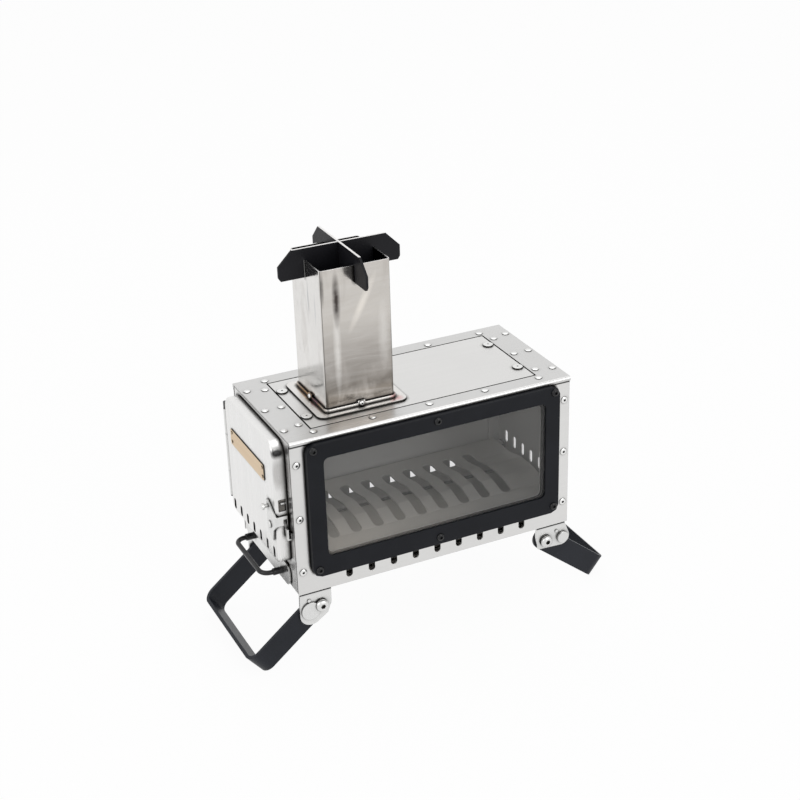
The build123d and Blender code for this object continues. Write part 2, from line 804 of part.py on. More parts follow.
# Door: a drawn pan with air slots and a cut-out in its front side
door_middle = (door_front + door_rear) / 2
door_level = (door_bottom + door_top) / 2
notch_bottom = 77.0
notch_top = 88.0
notch_inner_x = -(half_length + body_gap + 1.3)
with BuildPart() as door_pan:
    with BuildSketch(across(door_face_x)) as door_outline:
        with Locations((door_middle, door_level)):
            Rectangle(door_rear - door_front, door_top - door_bottom)
        fillet(door_outline.vertices().group_by(Axis.Y)[0], door_corner)
        fillet(door_outline.vertices().group_by(Axis.Y)[-1], door_rear_corner)
    extrude(amount=door_depth)
    fillet(door_pan.faces().sort_by(Axis.X)[0].edges(), door_bend)
    offset(amount=-door_wall, openings=door_pan.faces().sort_by(Axis.X)[-1])
    with BuildSketch(across(door_face_x)):
        with Locations((door_slot_middle, door_slot_z)):
            with GridLocations(air_slot_pitch, 0, air_slot_count, 1):
                SlotOverall(air_slot_height, air_slot_width, rotation=90)
        with Locations((latch_y, latch_z)):
            Circle(latch_pin_radius + hole_play)
    extrude(amount=door_bend, mode=Mode.SUBTRACT)
    with BuildSketch(facing_front(door_front)):
        with Locations(((door_face_x + door_bend + notch_inner_x) / 2, (notch_bottom + notch_top) / 2)):
            Rectangle(notch_inner_x - door_face_x - door_bend, notch_top - notch_bottom)
    extrude(amount=-2 * door_wall, mode=Mode.SUBTRACT)
finish(door_pan, "door_pan")

# Hinge at the door's rear edge: a leaf on the rear panel, a leaf on the door and a pin
hinge_door_bottom = hinge_bottom + hinge_split + body_gap
hinge_door_top = hinge_top - hinge_split - body_gap


def knuckle_ring(bore):
    """Section of a hinge knuckle."""
    with Locations((hinge_x, hinge_y)):
        Circle(hinge_radius)
        Circle(bore, mode=Mode.SUBTRACT)


with BuildPart() as hinge_leaf_body:
    for low, high in ((hinge_bottom, hinge_bottom + hinge_split), (hinge_top - hinge_split, hinge_top)):
        with BuildSketch(level(low)):
            with Locations((hinge_x + hinge_radius / 2 + leaf_reach / 2, half_depth + leaf_thick / 2)):
                Rectangle(leaf_reach, leaf_thick)
            knuckle_ring(hinge_pin_radius + 0.01)
        extrude(amount=high - low)
    with BuildSketch(level(hinge_bottom)):
        with Locations((-half_length + leaf_inset + leaf_plate / 2, half_depth + leaf_thick / 2)):
            Rectangle(leaf_plate, leaf_thick)
    extrude(amount=hinge_leaf_top - hinge_bottom)
    with BuildSketch(facing_front(half_depth + leaf_thick)):
        with Locations(*hinge_rivets_at):
            Circle(rivet_radius + hole_play)
    extrude(amount=leaf_thick, mode=Mode.SUBTRACT)
finish(hinge_leaf_body, "hinge_leaf_body")

hinge_rivet = blind_rivet(2 * sheet + leaf_thick, rivet_pocket_depth)
with BuildPart(rear_face.offset(leaf_thick)) as hinge_rivets:
    with Locations(*[(-x, z) for x, z in hinge_rivets_at]):
        add(hinge_rivet)
finish(hinge_rivets, "hinge_rivets")

with BuildPart() as hinge_leaf_door:
    with BuildSketch(level(hinge_door_bottom)):
        with Locations((hinge_x + 1.2, door_rear + door_leaf_thick / 2)):
            Rectangle(door_leaf_width, door_leaf_thick)
        knuckle_ring(hinge_pin_radius + hinge_play)
    extrude(amount=hinge_door_top - hinge_door_bottom)
finish(hinge_leaf_door, "hinge_leaf_door")

with BuildPart() as hinge_pin:
    with BuildSketch(level(hinge_bottom - 1.0)):
        with Locations((hinge_x, hinge_y)):
            Circle(hinge_pin_radius)
    extrude(amount=hinge_top - hinge_bottom + 2.0)
    with BuildSketch(level(hinge_top)):
        with Locations((hinge_x, hinge_y)):
            Circle(hinge_head_radius)
    extrude(amount=hinge_head_height)
    with BuildSketch(level(hinge_bottom)):
        with Locations((hinge_x, hinge_y)):
            Circle(hinge_head_radius)
    extrude(amount=-1.4)
finish(hinge_pin, "hinge_pin")

# Bare brass plate on the door, held by four small pins
plate_length = 77.0
plate_height = 14.5
plate_y = 7.5
plate_z = 104.2
plate_thick = 0.8
plate_pins = [
    (plate_y + side * (plate_length / 2 - 3), plate_z + end * (plate_height / 2 - 3))
    for side in (-1, 1)
    for end in (-1, 1)
]
with BuildPart() as name_plate:
    with BuildSketch(across(door_face_x)):
        with Locations((plate_y, plate_z)):
            RectangleRounded(plate_length, plate_height, 1.6)
        with Locations(*plate_pins):
            Circle(0.85, mode=Mode.SUBTRACT)
    extrude(amount=-plate_thick)
finish(name_plate, "name_plate")
with BuildPart() as name_plate_pins:
    with BuildSketch(across(door_face_x)):
        with Locations(*plate_pins):
            Circle(0.8)
    extrude(amount=-plate_thick)
    with BuildSketch(across(door_face_x - plate_thick)):
        with Locations(*plate_pins):
            Circle(1.3)
    extrude(amount=-0.5)
finish(name_plate_pins, "name_plate_pins")

# Latch: a lever on the door's face, folded round the door's front side, with a notch in its tab
latch_back_x = door_face_x - body_gap
latch_tab_y = door_front - 0.4
latch_tab_end_x = -(half_length + 1.8)
catch_fin_x = -(half_length + 3.8)
with BuildPart() as latch_lever:
    with BuildSketch(across(latch_back_x)):
        with BuildLine():
            Polyline(
                (latch_y - 4.5, latch_z - 13.5),
                (latch_y - 6.5, latch_z - 4.0),
                (latch_tab_y - latch_sheet, latch_tab_bottom),
                (latch_tab_y - latch_sheet, latch_tab_top),
                (knob_y + 0.4, knob_z + 5.0),
                (knob_y + 4.2, knob_z + 4.0),
                (latch_y + 5.4, latch_z + 8.0),
                (latch_y + 6.0, latch_z),
                (latch_y + 4.6, latch_z - 7.0),
                close=True,
            )
        make_face()
        with Locations((latch_y, latch_z)):
            Circle(latch_pin_radius + hinge_play, mode=Mode.SUBTRACT)
        with Locations((knob_y, knob_z)):
            Circle(knob_shank + 0.01, mode=Mode.SUBTRACT)
    extrude(amount=-latch_sheet)
    with BuildSketch(facing_front(latch_tab_y)):
        with Locations(
            ((latch_back_x - latch_sheet + latch_tab_end_x) / 2, (latch_tab_bottom + latch_tab_top) / 2)
        ):
            Rectangle(latch_tab_end_x - latch_back_x + latch_sheet, latch_tab_top - latch_tab_bottom)
        with Locations((catch_fin_x, latch_tab_bottom)):
            Rectangle(3.2, 11.0, mode=Mode.SUBTRACT)
    extrude(amount=latch_sheet)
    fillet(
        latch_lever.edges().filter_by(Axis.Z).filter_by_position(
            Axis.X, latch_back_x - latch_sheet - 0.01, latch_back_x - latch_sheet + 0.01
        ).sort_by(Axis.Y)[0],
        1.0,
    )
finish(latch_lever, "latch_lever")

with BuildPart() as latch_pivot:
    with BuildSketch(across(door_face_x + door_wall)):
        with Locations((latch_y, latch_z)):
            Circle(latch_pin_radius)
    extrude(amount=-(door_wall + body_gap + latch_sheet + 0.2))
    with BuildSketch(across(latch_back_x - latch_sheet - 0.2)):
        with Locations((latch_y, latch_z)):
            Circle(latch_pin_radius + 1.3)
    extrude(amount=-1.2)
    fillet(latch_pivot.faces().sort_by(Axis.X)[0].edges(), 1.0)
    with BuildSketch(across(door_face_x + door_wall)):
        with Locations((latch_y, latch_z)):
            Circle(latch_pin_radius + 1.0)
    extrude(amount=1.0)
finish(latch_pivot, "latch_pivot")

knob_length = 7.0
with BuildPart() as latch_knob:
    with BuildSketch(across(latch_back_x)):
        with Locations((knob_y, knob_z)):
            Circle(knob_shank)
    extrude(amount=-knob_length)
    with BuildSketch(across(latch_back_x - knob_length + 2.0)):
        with Locations((knob_y, knob_z)):
            Circle(knob_shank + 1.2)
    extrude(amount=-2.2)
    fillet(latch_knob.faces().sort_by(Axis.X)[0].edges(), 0.7)
finish(latch_knob, "latch_knob")

# Catch for the latch's tab, and the pin that enters the cut-out in the door's side
catch_bottom = 52.0
catch_top = 62.3
catch_front_y = -58.5
catch_rear_y = -54.3
catch_thick = 1.2
with BuildPart() as latch_catch:
    with BuildSketch(facing_front(catch_rear_y)):
        with BuildLine():
            Polyline(
                (-half_length, catch_bottom),
                (catch_fin_x - catch_thick / 2, catch_bottom),
                (catch_fin_x - catch_thick / 2, catch_top),
                (catch_fin_x + catch_thick / 2, catch_top),
                (catch_fin_x + catch_thick / 2, catch_bottom + catch_thick),
                (-half_length - catch_thick, catch_bottom + catch_thick),
                (-half_length - catch_thick, catch_bottom + 6.0),
                (-half_length, catch_bottom + 6.0),
                close=True,
            )
        make_face()
    extrude(amount=catch_rear_y - catch_front_y)
finish(latch_catch, "latch_catch")

with BuildPart() as door_locating_pin:
    with BuildSketch(across(-half_length + sheet)):
        with Locations((locating_pin_y, locating_pin_z)):
            Circle(locating_pin_radius)
    extrude(amount=-(sheet + 5.6))
    fillet(door_locating_pin.faces().sort_by(Axis.X)[0].edges(), 0.5)
finish(door_locating_pin, "door_locating_pin")

# Leg brackets. Outlines are measured from the pivot: first outwards, then upwards.
bracket_lobes = {"left": (9.3, -7.2, 10.3), "right": (16.2, -0.5, 8.3)}
bracket_inner = {"left": (-6.0, -9.2), "right": (-7.4, -7.6)}
knob_discs = {"left": (10.0, -3.2, 8.2, 1.3), "right": (17.0, -0.3, 5.4, 2.4)}
bracket_top_outer = 18.8
bracket_top_inner = -9.5
bracket_flange = 18.0
stop_out = 11.0
stop_up = 6.9
stop_radius = 1.5
disc_shank = 2.0
washer_radius = 5.0
sides = {"left": -1, "right": 1}
ends = {"front": -1, "rear": 1}


def bracket_plane(side, y):
    """Upright plane whose origin is the pivot and whose x points away from the stove's middle."""
    return Plane(
        origin=(sides[side] * pivot_x, mid_y + y, base_z - pivot_drop),
        x_dir=(sides[side], 0, 0),
        z_dir=(0, -sides[side], 0),
    )


for side in sides:
    lobe_out, lobe_up, lobe_radius = bracket_lobes[side]
    for end in ends:
        outwards = -sides[side] * ends[end]
        with BuildPart() as bracket:
            with BuildSketch(bracket_plane(side, ends[end] * (bracket_outer_y - bracket_thick))):
                with BuildLine():
                    Polyline(
                        (bracket_top_inner, pivot_drop),
                        (bracket_top_inner, 1.0),
                        bracket_inner[side],
                        (lobe_out, lobe_up - lobe_radius),
                        (bracket_top_outer, pivot_drop),
                        close=True,
                    )
                    CenterArc((lobe_out, lobe_up), lobe_radius, 0, 360)
                make_hull()
                Circle(pivot_radius + hole_play, mode=Mode.SUBTRACT)
                with Locations((stop_out, stop_up)):
                    Circle(stop_radius + 0.01, mode=Mode.SUBTRACT)
                with Locations(knob_discs[side][:2]):
                    Circle(disc_shank + hole_play, mode=Mode.SUBTRACT)
            extrude(amount=outwards * bracket_thick)
            with BuildSketch(level(0)):
                flange_middle = (bracket_top_inner + bracket_top_outer) / 2
                with Locations(
                    (
                        sides[side] * (pivot_x + flange_middle),
                        ends[end] * (bracket_outer_y - bracket_flange / 2),
                    )
                ):
                    Rectangle(bracket_top_outer - bracket_top_inner, bracket_flange)
                with Locations(*[p for p in bracket_rivets if p[0] * sides[side] > 0]):
                    Circle(rivet_radius + hole_play, mode=Mode.SUBTRACT)
            extrude(amount=-2.0)
        finish(bracket, side + "_" + end + "_bracket")

under_rivet = blind_rivet(2.0 + 2 * sheet)
under_face = Plane(origin=(0, mid_y, base_z - 2.0), x_dir=(-1, 0, 0), z_dir=(0, 0, -1))
with BuildPart(under_face) as under_rivets:
    with Locations(*bracket_rivets):
        add(under_rivet)
finish(under_rivets, "bracket_rivets")

# Pivot bolts with washers and nuts, stop pins and lock knobs, for both arms of each leg
bolt_nut_height = 5.0
bolt_length = bolt_washer + bracket_thick + bracket_gap + leg_bar + body_gap + bolt_nut_height
pivot_bolt = button_screw(bolt_head_radius, bolt_head_height, pivot_radius, bolt_length, 4.0)
pivot_nut = hex_nut(10.0, bolt_nut_height, pivot_radius + 0.02)


def outward_plane(side, end, y):
    """Plane at a pivot that faces out of the stove's front or rear, its x away from the middle."""
    return Plane(
        origin=(sides[side] * pivot_x, mid_y + ends[end] * y, base_z - pivot_drop),
        x_dir=(sides[side], 0, 0),
        z_dir=(0, ends[end], 0),
    )


def turned_up(side, end, out, up):
    """Local place on an outward plane for a point given outwards and upwards from the pivot."""
    return (out, -up * sides[side] * ends[end])


leg_corners = [(side, end) for side in sides for end in ends]
with BuildPart() as pivot_bolts:
    for side, end in leg_corners:
        with Locations(outward_plane(side, end, bracket_outer_y + bolt_washer).location):
            add(pivot_bolt)
finish(pivot_bolts, "pivot_bolts")

with BuildPart() as pivot_washers:
    for side, end in leg_corners:
        with BuildSketch(outward_plane(side, end, bracket_outer_y)):
            Circle(washer_radius)
            Circle(pivot_radius + hole_play, mode=Mode.SUBTRACT)
        extrude(amount=bolt_washer)
finish(pivot_washers, "pivot_washers")

with BuildPart() as pivot_nuts:
    for side, end in leg_corners:
        nut_y = leg_outer_y - leg_bar - body_gap - bolt_nut_height
        with Locations(outward_plane(side, end, nut_y).location):
            add(pivot_nut)
finish(pivot_nuts, "pivot_nuts")

with BuildPart() as stop_pins:
    for side, end in leg_corners:
        with BuildSketch(outward_plane(side, end, leg_outer_y - leg_bar)):
            with Locations(turned_up(side, end, stop_out, stop_up)):
                Circle(stop_radius)
        extrude(amount=bracket_outer_y + 0.9 - leg_outer_y + leg_bar)
finish(stop_pins, "stop_pins")

for side in sides:
    disc_out, disc_up, disc_radius, disc_height = knob_discs[side]
    with BuildPart() as lock_knobs:
        for end in ends:
            with BuildSketch(outward_plane(side, end, bracket_outer_y - bracket_thick)):
                with Locations(turned_up(side, end, disc_out, disc_up)):
                    Circle(disc_shank)
            extrude(amount=bracket_thick + 0.4)
            with BuildSketch(outward_plane(side, end, bracket_outer_y + 0.3)):
                with Locations(turned_up(side, end, disc_out, disc_up)):
                    Circle(disc_radius)
                Circle(washer_radius + 0.7, mode=Mode.SUBTRACT)
            extrude(amount=disc_height)
    finish(lock_knobs, side + "_lock_knobs")

# Legs
for side in sides:
    lean = radians(leg_angle)
    reach_dir = Vector(sides[side] * cos(lean), 0, -sin(lean))
    leg_plane = Plane(
        origin=(sides[side] * pivot_x, mid_y, base_z - pivot_drop),
        x_dir=(0, 1, 0),
        z_dir=Vector(0, 1, 0).cross(reach_dir) * -1,
    )
    along = 1 if leg_plane.y_dir.dot(reach_dir) > 0 else -1
    arm_y = leg_outer_y - leg_bar / 2
    arm_end = -along * (leg_width / 2 + 1)
    with BuildPart() as leg:
        with BuildSketch(leg_plane):
            with BuildLine():
                arm_line = FilletPolyline(
                    (-arm_y, arm_end),
                    (-arm_y, along * (leg_reach - leg_bar / 2)),
                    (arm_y, along * (leg_reach - leg_bar / 2)),
                    (arm_y, arm_end),
                    radius=leg_bend,
                )
                offset(arm_line, amount=leg_bar / 2, side=Side.BOTH, kind=Kind.INTERSECTION)
            make_face()
        extrude(amount=leg_width / 2, both=True)
        side_view = Plane(origin=leg_plane.origin, x_dir=reach_dir, z_dir=(0, 1, 0))
        with BuildSketch(side_view):
            with Locations((leg_reach / 2, 0)):
                Rectangle(leg_reach, leg_width)
            Circle(leg_width / 2)
        extrude(amount=half_depth, both=True, mode=Mode.INTERSECT)
        with BuildSketch(side_view):
            Circle(pivot_radius + hinge_play)
        extrude(amount=half_depth, both=True, mode=Mode.SUBTRACT)
    finish(leg, side + "_leg")

print("body bottom", round(base_z, 3), "body middle", round(mid_y, 3))
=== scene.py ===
from math import radians

import bmesh
import bpy
from mathutils import Euler, Matrix, Vector


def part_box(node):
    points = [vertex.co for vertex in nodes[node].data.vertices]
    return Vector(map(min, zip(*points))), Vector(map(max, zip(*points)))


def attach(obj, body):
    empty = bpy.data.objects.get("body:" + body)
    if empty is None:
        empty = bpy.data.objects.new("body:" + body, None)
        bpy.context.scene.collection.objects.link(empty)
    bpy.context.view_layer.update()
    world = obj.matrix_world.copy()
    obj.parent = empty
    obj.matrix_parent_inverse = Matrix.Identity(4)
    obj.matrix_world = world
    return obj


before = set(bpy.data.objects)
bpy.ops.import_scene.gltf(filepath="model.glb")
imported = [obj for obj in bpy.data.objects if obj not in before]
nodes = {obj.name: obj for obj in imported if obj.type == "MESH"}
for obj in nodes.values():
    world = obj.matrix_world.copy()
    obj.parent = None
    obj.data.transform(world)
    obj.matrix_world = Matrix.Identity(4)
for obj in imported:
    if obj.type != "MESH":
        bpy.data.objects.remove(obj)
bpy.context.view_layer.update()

# Where the stove's body lies in the frame, in metres
body_low, body_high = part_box("top_frame")
body_height = 0.144
body_top_z = body_high.z
body_bottom_z = body_top_z - body_height
middle_y = (body_low.y + body_high.y) / 2


def body_point(x, y, z):
    """A place given in millimetres from the middle of the body's bottom, in the frame's metres."""
    return Vector((x / 1000, y / 1000 + middle_y, z / 1000 + body_bottom_z))


# Camera at the photograph's angle, in degrees: up from straight down, rolled, and turned about Z
camera_tilt = 63.268
camera_roll = 1.184
camera_heading = -26.559
camera_place = body_point(-526.4, -1133.3, 733.3)
focal_pixels = 1608.3
optical_centre_x = 428.9
optical_centre_y = 420.2
picture_size = 800
camera_data = bpy.data.cameras.new("camera")
camera_data.sensor_width = 36.0
camera_data.lens = focal_pixels * camera_data.sensor_width / picture_size
camera_data.shift_x = (picture_size / 2 - optical_centre_x) / picture_size
camera_data.shift_y = (optical_centre_y - picture_size / 2) / picture_size
camera_data.clip_start = 0.05
camera = bpy.data.objects.new("camera", camera_data)
bpy.context.scene.collection.objects.link(camera)
turn = Euler([radians(angle) for angle in (camera_tilt, camera_roll, camera_heading)])
camera.matrix_world = Matrix.Translation(camera_place) @ turn.to_matrix().to_4x4()
bpy.context.scene.camera = camera


# Small builders for shader nodes
def new_material(name):
    """An empty material with a Principled shader. Returns the material and the shader."""
    material = bpy.data.materials.new(name)
    material.use_nodes = True
    tree = material.node_tree
    tree.nodes.clear()
    shader = tree.nodes.new("ShaderNodeBsdfPrincipled")
    output = tree.nodes.new("ShaderNodeOutputMaterial")
    tree.links.new(shader.outputs["BSDF"], output.inputs["Surface"])
    return material, shader


def put(material, socket, value):
    """Sets a socket to a number, or links it to another socket."""
    if isinstance(value, bpy.types.NodeSocket):
        material.node_tree.links.new(value, socket)
    else:
        socket.default_value = value


def place(material, scale=(1, 1, 1)):
    """Object coordinates, scaled."""
    tree = material.node_tree
    coordinates = tree.nodes.new("ShaderNodeTexCoord")
    mapping = tree.nodes.new("ShaderNodeMapping")
    mapping.inputs["Scale"].default_value = scale
    tree.links.new(coordinates.outputs["Object"], mapping.inputs["Vector"])
    return mapping.outputs["Vector"]


def part_of(material, vector, axis):
    """One number of a vector."""
    node = material.node_tree.nodes.new("ShaderNodeSeparateXYZ")
    put(material, node.inputs[0], vector)
    return node.outputs["xyz".index(axis)]


def along(material, axis):
    """Where the surface lies along an axis of the object, in metres."""
    return part_of(material, place(material), axis)


def facing(material, axis):
    """How much the surface faces along an axis of the object, from -1 to 1."""
    node = material.node_tree.nodes.new("ShaderNodeTexCoord")
    return part_of(material, node.outputs["Normal"], axis)


def maths(material, operation, first, second=0.0):
    """One arithmetic step."""
    node = material.node_tree.nodes.new("ShaderNodeMath")
    node.operation = operation
    put(material, node.inputs[0], first)
    put(material, node.inputs[1], second)
    return node.outputs[0]


def both(material, first, second):
    """1 where two masks are 1."""
    return maths(material, "MULTIPLY", first, second)


def unsigned(material, value):
    """A number without its sign."""
    return maths(material, "ABSOLUTE", value)


def remap(material, value, low, high, new_low=0.0, new_high=1.0):
    """Maps a range of a value onto another range, clamped."""
    node = material.node_tree.nodes.new("ShaderNodeMapRange")
    put(material, node.inputs["Value"], value)
    for name, number in (("From Min", low), ("From Max", high), ("To Min", new_low), ("To Max", new_high)):
        node.inputs[name].default_value = number
    return node.outputs["Result"]


def between(material, value, low, high, soft=0.0005):
    """1 where a value lies between two limits, 0 outside, with a soft step."""
    rise = remap(material, value, low - soft, low + soft)
    fall = remap(material, value, high - soft, high + soft, 1.0, 0.0)
    return both(material, rise, fall)


def noise(material, vector, scale=1.0, detail=4.0, roughness=0.5, distortion=0.0):
    """Noise between 0 and 1."""
    node = material.node_tree.nodes.new("ShaderNodeTexNoise")
    put(material, node.inputs["Vector"], vector)
    node.inputs["Scale"].default_value = scale
    node.inputs["Detail"].default_value = detail
    node.inputs["Roughness"].default_value = roughness
    node.inputs["Distortion"].default_value = distortion
    return node.outputs["Fac"]


def mix(material, factor, first, second, mode="MIX"):
    """Mixes two colours."""
    node = material.node_tree.nodes.new("ShaderNodeMix")
    node.data_type = "RGBA"
    node.blend_type = mode
    put(material, node.inputs[0], factor)
    for socket, colour in ((node.inputs[6], first), (node.inputs[7], second)):
        put(material, socket, colour if isinstance(colour, bpy.types.NodeSocket) else (*colour, 1.0))
    return node.outputs[2]


def bump(material, height, strength, distance, edge=0.0):
    """A bump from a height, over edges that the Bevel node rounds by a radius."""
    tree = material.node_tree
    node = tree.nodes.new("ShaderNodeBump")
    node.inputs["Strength"].default_value = strength
    node.inputs["Distance"].default_value = distance
    put(material, node.inputs["Height"], height)
    if edge:
        bevel = tree.nodes.new("ShaderNodeBevel")
        bevel.samples = 4
        bevel.inputs["Radius"].default_value = edge
        tree.links.new(bevel.outputs["Normal"], node.inputs["Normal"])
    return node.outputs["Normal"]


def painted_corner_shade(material, colour, reach=0.0035, low=0.68, high=0.985):
    """Paints shade into a colour: darkens it in the narrow corners where pieces meet, as far as ambient
    occlusion reaches.
    """
    corner_shade_colour = (0.035, 0.033, 0.03)
    node = material.node_tree.nodes.new("ShaderNodeAmbientOcclusion")
    node.samples = 8
    node.inputs["Distance"].default_value = reach
    return mix(material, remap(material, node.outputs["AO"], low, high), corner_shade_colour, colour)


def spot(material, centre, size, tilt=0.0):
    """1 at a place, falling to 0 over an ellipsoid of the given half sizes, turned about Y."""
    tree = material.node_tree
    coordinates = tree.nodes.new("ShaderNodeTexCoord")
    mapping = tree.nodes.new("ShaderNodeMapping")
    mapping.vector_type = "TEXTURE"
    mapping.inputs["Location"].default_value = centre
    mapping.inputs["Rotation"].default_value = (0, tilt, 0)
    mapping.inputs["Scale"].default_value = size
    tree.links.new(coordinates.outputs["Object"], mapping.inputs["Vector"])
    node = tree.nodes.new("ShaderNodeTexGradient")
    node.gradient_type = "SPHERICAL"
    tree.links.new(mapping.outputs["Vector"], node.inputs["Vector"])
    return node.outputs["Fac"]


def marks(material, shade, spots, wobble_scale=60, sharpness=0.8):
    """Lays tinted patches over a colour: each a place, half sizes, a tilt, a colour and a strength."""
    wobble = noise(material, place(material, (wobble_scale,) * 3), roughness=0.6, distortion=0.6)
    uneven = remap(material, wobble, 0.3, 0.6, 0.75, 1.15)
    for centre, size, tilt, tint, strength in spots:
        patch = maths(material, "MULTIPLY", spot(material, centre, size, tilt), uneven)
        shade = mix(material, remap(material, patch, 0.0, sharpness, 0.0, strength), shade, tint)
    return shade


def inward(material, centre):
    """1 where the surface of a hollow piece looks towards a place inside it."""
    surely_in = -0.004
    surely_out = -0.002
    tree = material.node_tree
    away = tree.nodes.new("ShaderNodeVectorMath")
    away.operation = "SUBTRACT"
    put(material, away.inputs[0], place(material))
    away.inputs[1].default_value = centre
    turned = tree.nodes.new("ShaderNodeVectorMath")
    turned.operation = "DOT_PRODUCT"
    coordinates = tree.nodes.new("ShaderNodeTexCoord")
    tree.links.new(away.outputs["Vector"], turned.inputs[0])
    tree.links.new(coordinates.outputs["Normal"], turned.inputs[1])
    return remap(material, turned.outputs["Value"], surely_in, surely_out, 1.0, 0.0)


# Finishes that several materials share
grain_depth = 0.0002


def grain_scale(axis, lengthwise, crosswise):
    """Scale that stretches noise along one axis."""
    return tuple(lengthwise if name == axis else crosswise for name in "xyz")


def steel(
    name, colour, grain="x", rough=(0.22, 0.36), clouds=0.05, lines=0.03, edge=0.0005, relief=0.05
):
    """Brushed stainless sheet: fine lines along one axis, soft clouds, painted shade in the corners,
    rounded edges.

    Returns the material, its shader, and its colour before the painted corner shade.
    """
    material, shader = new_material(name)
    shader.inputs["Metallic"].default_value = 1.0
    fine_scale = grain_scale(grain, lengthwise=12, crosswise=1300)
    broad_scale = grain_scale(grain, lengthwise=4, crosswise=160)
    fine_share = 0.6
    fine = noise(material, place(material, fine_scale), detail=5.0, roughness=0.62)
    broad = noise(material, place(material, broad_scale), detail=3.0)
    cloud = noise(material, place(material, (11, 11, 11)), detail=3.0, roughness=0.55, distortion=0.4)
    fine_part = maths(material, "MULTIPLY", fine, fine_share)
    broad_part = maths(material, "MULTIPLY", broad, 1 - fine_share)
    brush = maths(material, "ADD", fine_part, broad_part)
    dark = tuple(c * (1 - lines * 2) for c in colour)
    lined = mix(material, remap(material, brush, 0.33, 0.62), dark, colour)
    dull = tuple(c * (1 - clouds * 2) for c in colour)
    shade = mix(material, remap(material, cloud, 0.35, 0.7, 0.0, 0.6), lined, dull)
    # painted shade: the base colour is darkened in the corners
    put(material, shader.inputs["Base Color"], painted_corner_shade(material, shade))
    put(material, shader.inputs["Roughness"], remap(material, brush, 0.3, 0.7, rough[1], rough[0]))
    put(material, shader.inputs["Normal"], bump(material, brush, relief, grain_depth, edge))
    return material, shader, shade


def smoke_inside(material, shader, shade):
    """Dulls the sides of a sheet that look into the firebox."""
    smoked = (0.62, 0.615, 0.605)
    inner = inward(material, body_point(0, 0, 80))
    outside = painted_corner_shade(material, shade, reach=0.0025)
    put(material, shader.inputs["Base Color"], mix(material, inner, outside, smoked))
    put(material, shader.inputs["Metallic"], remap(material, inner, 0.0, 1.0, 1.0, 0.4))
    put(material, shader.inputs["Roughness"], remap(material, inner, 0.0, 1.0, 0.28, 0.55))


def seam_shade_at_bends(material, shade):
    """Painted shade: dark lines in the grooves where an end's bends meet the front and the rear panel."""
    bend_start = 0.0606
    groove_width = 0.0005
    depth = unsigned(material, maths(material, "SUBTRACT", along(material, "y"), middle_y))
    # painted shade: a dark line along each bend
    groove_shade = remap(material, depth, bend_start, bend_start + groove_width)
    return mix(material, groove_shade, shade, (0.05, 0.05, 0.05))


def coat(name, colour, rough, grit=0.10, edge=0.0006, gloss=0.22):
    """Powder coat: dark, with a fine orange-peel grit and paler rubbed places."""
    material, shader = new_material(name)
    peel = noise(material, place(material), scale=1500.0, detail=3.0, roughness=0.6)
    cloud = noise(material, place(material), scale=22.0, roughness=0.6)
    worn = tuple(c * 1.5 + 0.003 for c in colour)
    shade = mix(material, remap(material, cloud, 0.35, 0.75, 0.0, 0.7), colour, worn)
    put(material, shader.inputs["Base Color"], shade)
    put(material, shader.inputs["Roughness"], remap(material, peel, 0.3, 0.7, rough - 0.06, rough + 0.08))
    put(material, shader.inputs["Normal"], bump(material, peel, grit, grain_depth, edge))
    shader.inputs["Specular IOR Level"].default_value = gloss
    return material, shader, shade


# Materials of the body
near_black = (0.012, 0.012, 0.012)
end_colour = (0.72, 0.715, 0.705)
# pale edge colour: bare steel on the cross's top edges, a painted highlight on the chimney's rim
bare_edge_and_highlight = (0.78, 0.77, 0.76)


def body_steel():
    """Front and rear panel: a painted shadow under the lip of the top, smoked on the inside."""
    material, shader, shade = steel("body_steel", (0.74, 0.735, 0.725), "x", lines=0.02, relief=0.02)
    lip_height = 0.0038
    lip_shadow_height = 0.0020
    lip_bottom = body_top_z - lip_height
    height = along(material, "z")
    # painted shadow: a dark band just under the lip of the top
    lip_shadow_band = between(material, height, lip_bottom - lip_shadow_height, lip_bottom, soft=0.0003)
    smoke_inside(material, shader, mix(material, lip_shadow_band, shade, (0.04, 0.04, 0.04)))
    return material


def end_steel():
    """Right end: painted shade in the seams at its bends, smoked on the inside."""
    material, shader, shade = steel("end_steel", end_colour, "y", lines=0.02, relief=0.02)
    smoke_inside(material, shader, seam_shade_at_bends(material, shade))
    return material


def end_black_behind_door():
    """Left end: painted shade in the seams at its bends, near black where the door covers it."""
    material, shader, shade = steel("end_black_behind_door", end_colour, "y", lines=0.02, relief=0.04)
    inset = 0.002
    low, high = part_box("door_pan")
    behind_door = both(
        material,
        between(material, along(material, "y"), low.y + inset, high.y - inset, soft=0.001),
        between(material, along(material, "z"), low.z + inset, high.z - inset, soft=0.001),
    )
    shade = mix(material, behind_door, seam_shade_at_bends(material, shade), near_black)
    put(material, shader.inputs["Base Color"], painted_corner_shade(material, shade))
    return material


def top_steel():
    """Top frame, a little darker than the cooktop in it."""
    material, _, _ = steel(
        "top_steel", (0.64, 0.637, 0.63), "x", rough=(0.26, 0.38), clouds=0.03, lines=0.02, relief=0.04
    )
    return material


def cooktop_steel():
    """Cooktop plate."""
    material, _, _ = steel(
        "cooktop_steel", (0.715, 0.71, 0.70), "x", rough=(0.26, 0.38), clouds=0.03, lines=0.015, relief=0.04
    )
    return material


def inner_steel():
    """Sheets inside the body, dulled by heat."""
    material, shader, _ = steel(
        "inner_steel", (0.60, 0.585, 0.56), "x", rough=(0.38, 0.52), clouds=0.12, lines=0.04
    )
    shader.inputs["Metallic"].default_value = 0.5
    return material


